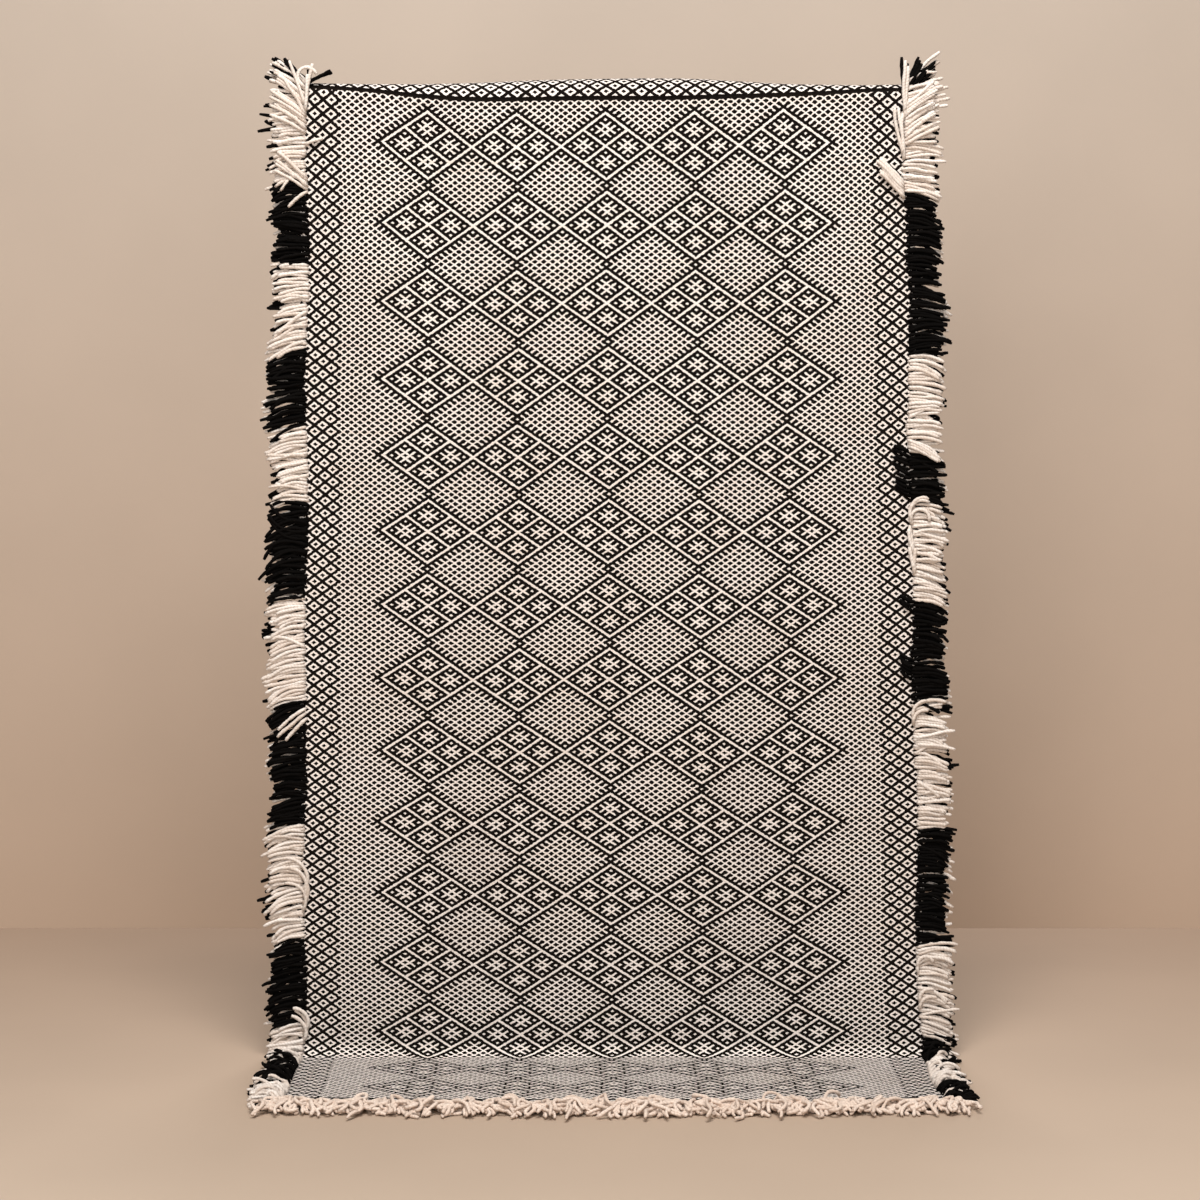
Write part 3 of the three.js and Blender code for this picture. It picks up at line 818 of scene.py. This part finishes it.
def tubes(lines, square, radius):
    """Closed tubes along the lines: rings of YARN_SIDES points square to the line, which
    swell and thin by a sine that starts anywhere, rounded off at the tip, with two faces
    over each end. square is a direction that no line of its yarn follows. Gives points,
    faces and the strand map."""
    count, steps = lines.shape[:2]
    ahead = unit(np.gradient(lines, axis=1))
    side = unit(np.cross(ahead, square[:, None]))
    up = np.cross(side, ahead)
    angle = 2 * math.pi * np.arange(YARN_SIDES) / YARN_SIDES
    ring_count = np.arange(steps)
    swell = 1 + SWELL * np.sin(SWELL_RATE * ring_count + SWELL_START * radius[:, None])
    profile = np.where(ring_count == steps - 1, TIP, swell) * radius[:, None]
    ring = np.cos(angle)[:, None] * side[:, :, None] + np.sin(angle)[:, None] * up[:, :, None]
    points = lines[:, :, None] + ring * profile[..., None, None]

    base = np.arange(count)[:, None, None] * steps * YARN_SIDES
    here = base + np.arange(steps - 1)[None, :, None] * YARN_SIDES
    k = np.arange(YARN_SIDES)[None, None, :]
    beside = (k + 1) % YARN_SIDES
    after = here + YARN_SIDES
    quads = np.stack([here + k, here + beside, after + beside, after + k], -1)
    shape = quads.shape[:3]
    far = np.linalg.norm(np.diff(lines, axis=1), axis=-1).cumsum(axis=1) / TWIST_PITCH
    far = np.concatenate([np.zeros((count, 1)), far], axis=1)
    low = np.broadcast_to(far[:, :-1, None], shape)
    high = np.broadcast_to(far[:, 1:, None], shape)
    left = np.broadcast_to(k / YARN_SIDES, shape)
    right = left + 1 / YARN_SIDES
    strand = np.stack([left, low, right, low, right, high, left, high], -1)
    per_strand = (steps - 1) * YARN_SIDES
    quads = quads.reshape(count, per_strand, 4)
    strand = strand.reshape(count, per_strand, 4, 2)

    first = (np.arange(count) * steps * YARN_SIDES)[:, None]
    last = first + (steps - 1) * YARN_SIDES
    caps = np.stack([
        first + np.array([3, 2, 1, 0]),
        first + np.array([5, 4, 3, 0]),
        last + np.array([0, 1, 2, 3]),
        last + np.array([0, 3, 4, 5]),
    ], 1)
    cap_map = np.zeros((count, 4, 4, 2))
    cap_map[:, 2:, :, 1] = far[:, -1, None, None]
    quads = np.concatenate([quads, caps], axis=1).reshape(-1, 4)
    strand = np.concatenate([strand, cap_map], axis=1).reshape(-1, 4, 2)
    return points.reshape(-1, 3), quads, strand


def make_yarns(name, wool, layers, nodes=(), finish=None):
    """One mesh of every yarn in the layers, which are of one wool. A yarn that would sink
    into the floor lies on it."""
    lines, square, radius, tone = (np.concatenate(part) for part in zip(*layers))
    lowest = (1 + SWELL) * radius[:, None] - HANG_HEIGHT
    lines[..., 2] = np.maximum(lines[..., 2], lowest)
    points, quads, strand = tubes(lines, square, radius)
    tones = np.repeat(tone, YARN_STEPS * YARN_SIDES)
    only = np.zeros(len(quads))
    finish = finish or WOOLS[wool]
    piece = make_piece(name, points, quads, [finish], only, {"strand": strand}, {"tone": tones})
    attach(piece, "root")
    if nodes:
        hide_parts(*nodes)
    return piece


ALONG_YARN = np.linspace(0, 1, YARN_STEPS)[None]


def waves(rng, count, amplitude, slowest, fastest):
    """A gentle sine along each yarn, with its own number of waves and its own start."""
    rate = rng.uniform(slowest, fastest, (count, 1))
    start = rng.uniform(0, 2 * math.pi, (count, 1))
    size = np.reshape(amplitude, (-1, 1)) * rng.uniform(0.4, 1.3, (count, 1))
    return size * np.sin(2 * math.pi * rate * ALONG_YARN + start)


def locks_of(rng, count, size):
    """For neighbouring yarns gathered into locks: each yarn's lock, and its place across
    the lock from -1 to 1."""
    shifted = np.arange(count) + rng.integers(size)
    return shifted // size, (shifted % size) / (size - 1) * 2 - 1


def edge_places(side, along, sewn):
    """Places near a long edge: the point sewn metres inside it, the directions straight out
    and towards which a yarn rises, which is up where the cloth hangs and backwards on the
    floor, the cloth's face, and how far the place counts as lying on the floor."""
    inside = side * (1 - sewn / (CELLS_TO_EDGE * CELL_AT_TOP))
    at = cloth_point(inside, along)
    face = cloth_frame(inside, along)[1]
    floored = smoothstep(at[:, 2] + HANG_HEIGHT, LIES_BELOW, LIES_WHOLLY)
    upright = np.array([0.0, 0.0, 1.0])
    forwards = np.array([0.0, -1.0, 0.0])
    rise = unit(upright - floored[:, None] * (upright + forwards))
    square = unit(forwards + floored[:, None] * (upright - forwards))
    out = np.broadcast_to(np.array([float(side), 0.0, 0.0]), at.shape)
    return at, out, rise, face, square, floored


def come_through(lines, face, lies, length):
    """Yarns start in the middle of the cloth and reach the depth at which they lie within
    RISE_AT_ROOT of their length, along a smoothstep."""
    depth = lies[:, None] * smoothstep(ALONG_YARN * length[:, None], 0, RISE_AT_ROOT)
    return lines + face[:, None] * depth[..., None]


def side_layer(rng, side, start, stop, lifts, layer):
    """One layer of yarns down a stretch of a long edge. A yarn leaves near the angle of its
    block, turned with its lock and a little by itself; the yarns of a lock draw together
    and sink towards their tips. On the floor the locks lie more freely."""
    count = max(round((stop - start) / layer["pitch"]), 2)
    share = (np.arange(count) + 0.5 + rng.uniform(-0.35, 0.35, count)) / count
    lock, place = locks_of(rng, count, LOCK_YARNS)
    locks = lock.max() + 1
    sewn = layer["sewn"] + rng.uniform(-0.0022, 0.0022, locks)[lock]
    sewn = sewn + rng.uniform(-0.0015, 0.0015, count)
    at, out, rise, face, square, floored = edge_places(side, lerp(start, stop, share), sewn)
    high = smoothstep(at[:, 2], *HIGH_YARNS)

    s = ALONG_YARN
    free = 1 + 3.0 * floored + 0.8 * high
    stray = rng.random(count) < STRAY_SHARE
    turn = lerp(*lifts, share ** 0.6) + free * rng.normal(0, LOCK_TURN, locks)[lock]
    turn = turn + rng.normal(0, np.where(stray, STRAY_TURN, YARN_TURN))
    sink = rng.uniform(*SINK, locks)[lock] + rng.uniform(-YARN_SINK, YARN_SINK, count)
    sink = sink * (1 - floored) * (1 - 0.6 * high)
    gather = rng.uniform(*GATHER, locks)[lock] * place
    turn = (turn + 0.2 * sink)[:, None] - sink[:, None] * s ** 1.2 + gather[:, None] * s
    turn = np.radians(turn) + waves(rng, count, 0.12 + 0.50 * floored, 0.5, 1.7)
    lean = waves(rng, count, 0.08 + 0.50 * floored, 0.5, 1.5)
    rear = floored * rng.uniform(0.0, 0.55, locks)[lock]
    lean = lean + rear[:, None] * np.cos(math.pi * s)
    uneven = rng.normal(*LOCK_REACH, locks)[lock] + rng.normal(0, YARN_REACH, count)
    full = layer["length"] * lerp(SIDE_REACH[side], 1, 0.5 * high)
    length = sewn + full * (1 + uneven + np.where(stray, STRAY_REACH, 0.0))
    lines = trace(at, out, rise, face, length, turn, lean)
    lies = layer["lies"] + rng.uniform(-0.0015, 0.0015, count)
    lies = lies + 0.006 * floored * rng.random(count)
    lines = come_through(lines, face, lies, length)
    return lines, square, YARN_RADIUS * rng.uniform(0.86, 1.12, count), rng.random(count)


def loose_lock(rng, side, crest, lock):
    """A lock that lies apart: its yarns leave beside each other at one angle, which turns
    evenly along them, and spread a little."""
    count = lock["yarns"]
    spread = np.linspace(-0.5, 0.5, count) if count > 1 else np.zeros(1)
    along = crest + lock["at"] + spread * lock["span"]
    sewn = LOOSE_SEWN + rng.uniform(-0.001, 0.001, count)
    at, out, rise, face, square, _ = edge_places(side, along, sewn)
    turn = lock["turn"] - LOOSE_SPREAD * spread + rng.normal(0, 4.0, count)
    curl = lock["curl"] * rng.uniform(0.8, 1.15, count)
    turn = np.radians(turn[:, None] + curl[:, None] * ALONG_YARN)
    turn = turn + waves(rng, count, 0.08, 0.5, 1.5)
    lean = waves(rng, count, 0.05, 0.5, 1.2)
    length = lock["length"] * rng.uniform(0.88, 1.08, count)
    lines = trace(at, out, rise, face, length, turn, lean)
    lies = lock["lies"] + rng.uniform(-0.001, 0.002, count)
    lines = come_through(lines, face, lies, length)
    return lines, square, YARN_RADIUS * rng.uniform(0.9, 1.1, count), rng.random(count)


def side_fringe(side, name, blocks, loose):
    """The fringe down one long edge: a piece for each block's own colour, and one for each
    colour of what shows from behind it or lies across it."""
    edge = cloth_point(np.array([float(side)]), np.array([0.0]))[:, 0]
    crest = -float(fold_at(edge)[3][0])
    start = -TURNED_BACK
    before = TOP_LIFT
    pieces = []
    other = {"cream": [], "black": []}
    for index, block in enumerate(blocks):
        stop = min(crest + block["end"], LINE_TO_FOOT)
        rng = np.random.default_rng(1000 * (side + 2) + index)
        lifts = (before, block["lift"])
        own = []
        for layer in SIDE_LAYERS:
            made = side_layer(rng, side, start, stop, lifts, layer)
            opposite = "black" if block["wool"] == "cream" else "cream"
            (own if layer["own"] else other[opposite]).append(made)
        label = f"{name}_{index + 1:02d}_{block['wool']}"
        pieces.append(make_yarns(label.replace("fringe", "yarns"), block["wool"], own, [label]))
        start = stop
        before = block["lift"]
    rng = np.random.default_rng(500 + side)
    for lock in loose:
        other[lock["wool"]].append(loose_lock(rng, side, crest, lock))
    side_name = name.replace("fringe", "yarns")
    for wool, layers in other.items():
        pieces.append(make_yarns(f"{side_name}_loose_{wool}", wool, layers))
    return pieces


# The layers of curled yarn beyond the foot end, and of straight yarn below the turned-back
# end: how far from the cloth's middle they start, pitch and length
FOOT_LAYERS = table(("rise", "pitch", "length"), [
    (0.0010, 0.0058, 0.070),
    (0.0050, 0.0060, 0.078),
    (0.0095, 0.0072, 0.070),
])
BACK_LAYERS = table(("rise", "pitch", "length"), [
    (0.0032, 0.0066, 0.062),
    (-0.0032, 0.0072, 0.062),
])
END_LOCK = 5
END_SEWN = 0.005

# How unlike each other those yarns are: the spread of the turns of their locks and of their
# own and of how far each curls round, and the range in which they rise, in degrees; how
# widely they swing to the sides and bob up and down, in radians; the spread of their length
CURLED = dict(lock=30, yarn=18, curl=80, rises=(5, 30), swing=1.10, bob=0.27, uneven=0.14)
STRAIGHT = dict(lock=4, yarn=4, curl=0, rises=(0, 0), swing=0.10, bob=0.05, uneven=0.09)


def end_yarns(rng, along, out, face, layer, style):
    """A layer of yarns beyond an end of the cloth. Curled ones swing widely from side to
    side and up and down as they go."""
    width = 2 * CELLS_TO_EDGE * (CELL_AT_TOP + CELL_SPREAD * max(along, 0))
    count = round(width / layer["pitch"])
    across = np.linspace(-1, 1, count) + rng.uniform(-0.4, 0.4, count) / count
    at = cloth_point(np.clip(across, -1, 1), np.full(count, along))
    out = np.broadcast_to(np.array(out), at.shape)
    face = np.broadcast_to(np.array(face), at.shape)
    sideways = np.broadcast_to(np.array([1.0, 0.0, 0.0]), at.shape)
    lock, place = locks_of(rng, count, END_LOCK)
    locks = lock.max() + 1
    s = ALONG_YARN
    turn = rng.normal(0, style["lock"], locks)[lock] + rng.normal(0, style["yarn"], count)
    turn = np.radians(turn - 6 * place)[:, None] + waves(rng, count, style["swing"], 0.7, 1.5)
    curl = rng.normal(0, style["curl"], count)
    turn = turn + np.radians(curl)[:, None] * s ** 1.5
    lean = np.radians(rng.uniform(*style["rises"], count))[:, None] * np.cos(math.pi * s)
    lean = lean + waves(rng, count, style["bob"], 0.7, 1.8)
    length = layer["length"] * (1 + rng.normal(0, style["uneven"], count))
    lies = layer["rise"] + rng.uniform(-0.001, 0.001, count)
    root = at + face * lies[:, None] - out * END_SEWN
    lines = trace(root, out, sideways, face, length, turn, lean)
    return lines, face, YARN_RADIUS * rng.uniform(0.88, 1.12, count), rng.random(count)


def end_fringe(end, along, out, face, layers, style, seed):
    """The cream fringe beyond one end of the cloth, in the end wool: a darker, warmer copy
    of the cream wool, whose darkness is painted shade.
    """
    rng = np.random.default_rng(seed)
    made = [end_yarns(rng, along, out, face, layer, style) for layer in layers]
    return make_yarns(f"yarns_{end}", "cream", made, [f"fringe_{end}"], WOOLS["end"])


# Painted shade: the wall's plaster gets darker towards the floor and the floor darker
# towards the wall, as the light falls off there; the wall also gets warmer towards the floor
WALL_LIT_TOP = (0.472, 0.394, 0.328)
WALL_SHADED_FOOT = (0.482, 0.356, 0.266)
FLOOR_LIT_NEAR = (0.448, 0.352, 0.272)
FLOOR_SHADED_FAR = (0.332, 0.228, 0.160)
ROOM_CLOUDS = 2.2  # to a metre, in the plaster's tone


def graded(tree, place, axis, span, colours):
    """A straight mix of two colours from one end of a span on an axis to the other."""
    value = add_node(tree, "SeparateXYZ", {0: place}).outputs[axis]
    inputs = {"Value": value, "From Min": span[0], "From Max": span[1]}
    return mix_colours(tree, add_node(tree, "MapRange", inputs).outputs[0], *colours)


def make_plane(name, corners, paint):
    """A flat four-cornered stage piece, painted by a function of its tree and place."""
    mesh = bpy.data.meshes.new(name)
    mesh.from_pydata(corners, [], [(0, 1, 2, 3)])
    material, tree, shader = principled(name, roughness=0.85, specular=0.15)
    place = object_place(tree)
    cloudy = noise_value(tree, place, ROOM_CLOUDS, 2.0)
    colour = shaded(tree, paint(tree, place), Sums(tree)("MULTIPLY_ADD", cloudy, 0.12, 0.94))
    tree.links.new(colour, shader.inputs["Base Color"])
    mesh.materials.append(material)
    plane = bpy.data.objects.new(name, mesh)
    bpy.context.scene.collection.objects.link(plane)
    return plane, tree, shader


def make_room():
    """A plain floor and a plain wall, which aren't part of the rug, with painted shade that
    deepens towards where they meet. The wall is see-through from behind, and lets the light
    for the rug's back pass."""
    # Each paint is a gradient of painted shade
    def floor_shade_gradient(tree, place):
        return graded(tree, place, 1, (-1.3, WALL_AT), (FLOOR_LIT_NEAR, FLOOR_SHADED_FAR))

    def wall_shade_gradient(tree, place):
        return graded(tree, place, 2, (-HANG_HEIGHT, 0.35), (WALL_SHADED_FOOT, WALL_LIT_TOP))

    low = -HANG_HEIGHT - 0.0003
    near, far, half, high = -7.0, WALL_AT, 4.5, 2.8
    floor = [(-half, near, low), (half, near, low), (half, far, low), (-half, far, low)]
    make_plane("floor", floor, floor_shade_gradient)
    wall = [(-half, far, low), (half, far, low), (half, far, high), (-half, far, high)]
    plane, tree, shader = make_plane("wall", wall, wall_shade_gradient)
    behind = add_node(tree, "NewGeometry", {}).outputs["Backfacing"]
    clear = add_node(tree, "BsdfTransparent", {}).outputs[0]
    mix = add_node(tree, "MixShader", {0: behind, 1: shader.outputs[0], 2: clear})
    tree.links.new(mix.outputs[0], tree.nodes["Material Output"].inputs["Surface"])
    plane.visible_shadow = False
    plane.visible_diffuse = False


# Soft square lights: where each is, the point that it faces, its side and its power
LIGHTS = table(("light", "at", "faces", "side", "power"), [
    ("key", (-1.6, -5.8, 1.1), (0, 0, -1.0), 2.2, 125),
    ("fill", (1.8, -5.8, 0.0), (0, 0, -1.0), 2.6, 34),
    ("top", (0.1, -2.8, 3.7), (0, -0.7, -1.89), 2.6, 375),
    ("rear", (0.6, 4.8, 1.2), (0, 0, -1.0), 2.6, 150),
])
LIGHT_COLOUR = (1.0, 0.985, 0.965)
AIR_COLOUR = (1.0, 0.98, 0.96)
AIR_STRENGTH = 0.22


def make_studio():
    """The lights, the air's own light, and the camera in front of the rug. A light's tilt
    is the slope to the point it faces, and its turn the bearing."""
    for row in LIGHTS:
        data = bpy.data.lights.new(row["light"], "AREA")
        data.size = row["side"]
        data.energy = row["power"]
        data.color = LIGHT_COLOUR
        lamp = bpy.data.objects.new(row["light"], data)
        bpy.context.scene.collection.objects.link(lamp)
        lamp.location = row["at"]
        x, y, z = np.array(row["faces"]) - np.array(row["at"])
        tilt = math.pi / 2 + math.atan2(z, math.hypot(x, y))
        lamp.rotation_euler = (tilt, 0, math.atan2(-x, y))
        lamp.visible_camera = False
    world = bpy.data.worlds.new("room")
    world.use_nodes = True
    world.node_tree.nodes["Background"].inputs["Color"].default_value = (*AIR_COLOUR, 1)
    world.node_tree.nodes["Background"].inputs["Strength"].default_value = AIR_STRENGTH
    bpy.context.scene.world = world
    bpy.context.scene.view_settings.view_transform = "Standard"

    data = bpy.data.cameras.new("camera")
    data.lens = LENS
    data.sensor_width = SENSOR
    camera = bpy.data.objects.new("camera", data)
    bpy.context.scene.collection.objects.link(camera)
    camera.location = CAMERA_AT
    camera.rotation_euler = (math.radians(90 - CAMERA_PITCH), 0, 0)
    bpy.context.scene.camera = camera


chart = weave_group()
twist = yarn_group()
kilim_front = kilim_material("kilim_front", chart, False)
kilim_back = kilim_material("kilim_back", chart, True)
WOOLS = {looks["wool"]: wool_material(twist, **looks) for looks in WOOL_LOOKS}

cloth = make_cloth(kilim_front, kilim_back)
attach(cloth, "root")
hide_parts("kilim")

fringes = side_fringe(-1, "fringe_left", LEFT_BLOCKS, LEFT_LOOSE)
fringes += side_fringe(1, "fringe_right", RIGHT_BLOCKS, RIGHT_LOOSE)
fringes += [
    end_fringe("foot", LINE_TO_FOOT, (0, -1, 0), (0, 0, 1), FOOT_LAYERS, CURLED, seed=71),
    end_fringe("back", -TURNED_BACK, (0, 0, -1), (0, 1, 0), BACK_LAYERS, STRAIGHT, seed=72),
]

make_room()
make_studio()
